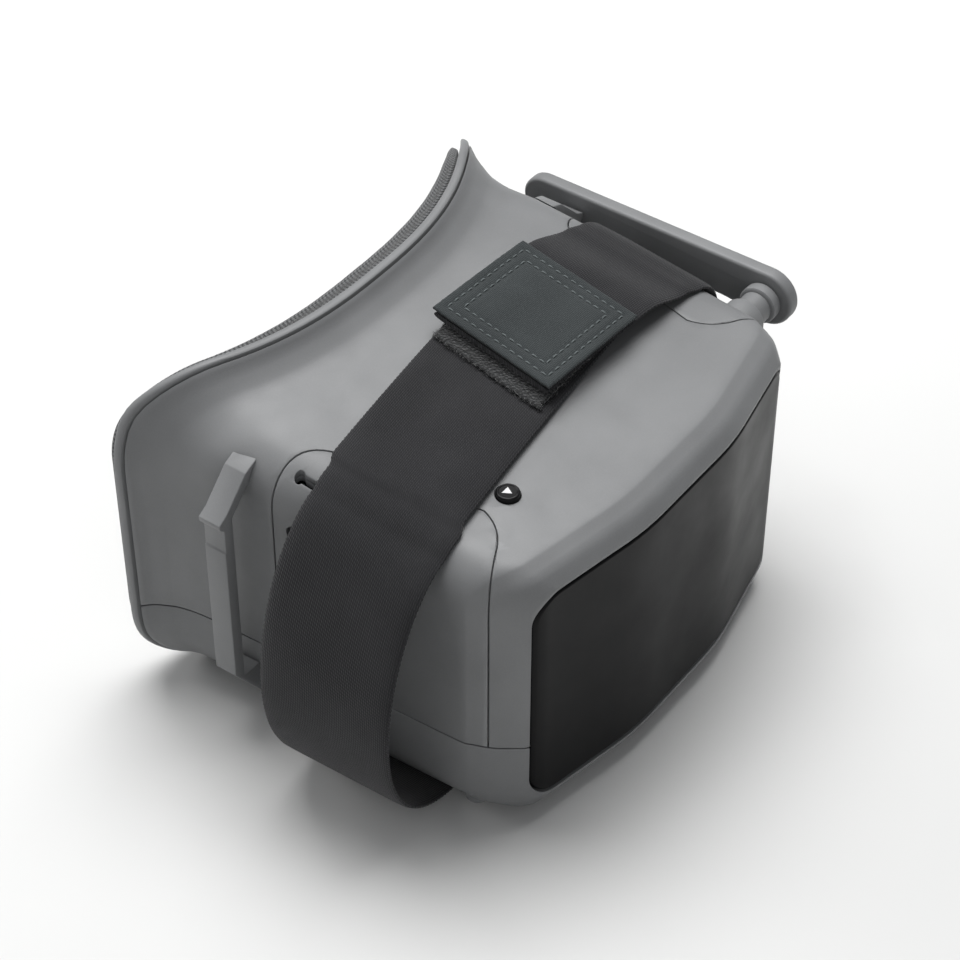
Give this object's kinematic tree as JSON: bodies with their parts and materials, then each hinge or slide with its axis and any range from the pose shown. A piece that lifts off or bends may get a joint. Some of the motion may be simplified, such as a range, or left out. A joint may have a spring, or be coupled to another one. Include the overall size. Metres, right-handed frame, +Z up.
{
  "type": "fpv goggles",
  "caption": "Box-type FPV goggles with a flared face rim and foam cushion, dark front plate, side strap brackets, fold-up antenna and a webbing head strap wrapped round the body.",
  "frame": {"origin": "on the strap's flat underside, on the centre plane, on the surface the goggles rest on", "axes": "+Z up, -Y out of the front plate, +Y towards the wearer's face, +X the wearer's left"},
  "size_m": [0.1585, 0.1146, 0.0932],
  "materials": {
    "shell_plastic": "fine-textured mid grey ABS, satin-matte",
    "plate_black": "near-black semi-gloss plate",
    "key_black": "black key caps, one with a white triangle",
    "cushion_foam": "dark grey fabric-faced foam with a ribbed edge",
    "nose_rubber": "soft matt rubber",
    "webbing": "near-black woven nylon webbing",
    "hook_and_loop": "black hook-and-loop tape",
    "lens_clear": "clear acrylic with fine concentric grooves",
    "inner_black": "matt black",
    "screen_glass": "dark glossy display face",
    "circuit_board": "green solder mask",
    "battery_wrap": "blue-grey shrink wrap",
    "steel": "plain metal"
  },
  "bodies": {
    "hood": {"antenna_boss": "shell_plastic", "antenna_lead": "inner_black", "antenna_pin": "steel", "av_jack": "inner_black", "battery_pack": "battery_wrap", "buzzer": "inner_black", "control_board": "circuit_board", "face_cushion": "cushion_foam", "face_frame": "shell_plastic", "fresnel_lens": "lens_clear", "front_plate": "plate_black", "head_strap": "webbing", "lens_frame": "inner_black", "light_baffle": "inner_black", "lower_shell": "shell_plastic", "main_board": "circuit_board", "nose_shield": "nose_rubber", "port_board": "circuit_board", "power_switch": "steel", "receiver_module": "steel", "screen_holder": "inner_black", "screen_panel": "screen_glass", "screw_front_left": "steel", "screw_front_right": "steel", "screw_rear_left": "steel", "screw_rear_right": "steel", "sd_card_socket": "steel", "side_panel_left": "shell_plastic", "side_panel_right": "shell_plastic", "strap_bracket_left": "shell_plastic", "strap_bracket_right": "shell_plastic", "strap_end_patch": "webbing", "strap_hook_pad": "hook_and_loop", "strap_loop_pad": "hook_and_loop", "switch_down": "steel", "switch_menu": "steel", "switch_up": "steel", "upper_shell": "shell_plastic", "usb_port": "steel"},
    "antenna": {"antenna_blade": "shell_plastic"},
    "key_up": {"key_up": "key_black"},
    "key_down": {"key_down": "key_black"},
    "key_menu": {"key_menu": "key_black"},
    "power_button": {"power_button": "key_black"}
  },
  "joints": [
    {"name": "antenna_fold", "type": "hinge", "parent": "hood", "child": "antenna", "pos_m": [0.074, -0.0237, 0.0673], "axis": [1, 0, 0], "range_deg": [0, 110]},
    {"name": "key_up_press", "type": "slide", "parent": "hood", "child": "key_up", "axis": [0, 0, -1], "range_m": [0, 0.0007], "stiffness_N_per_m": 400},
    {"name": "key_down_press", "type": "slide", "parent": "hood", "child": "key_down", "axis": [0, 0, -1], "range_m": [0, 0.0007], "stiffness_N_per_m": 400},
    {"name": "key_menu_press", "type": "slide", "parent": "hood", "child": "key_menu", "axis": [0, 0, -1], "range_m": [0, 0.0007], "stiffness_N_per_m": 400},
    {"name": "power_press", "type": "slide", "parent": "hood", "child": "power_button", "axis": [-1, 0, 0], "range_m": [0, 0.0008], "stiffness_N_per_m": 400}
  ]
}
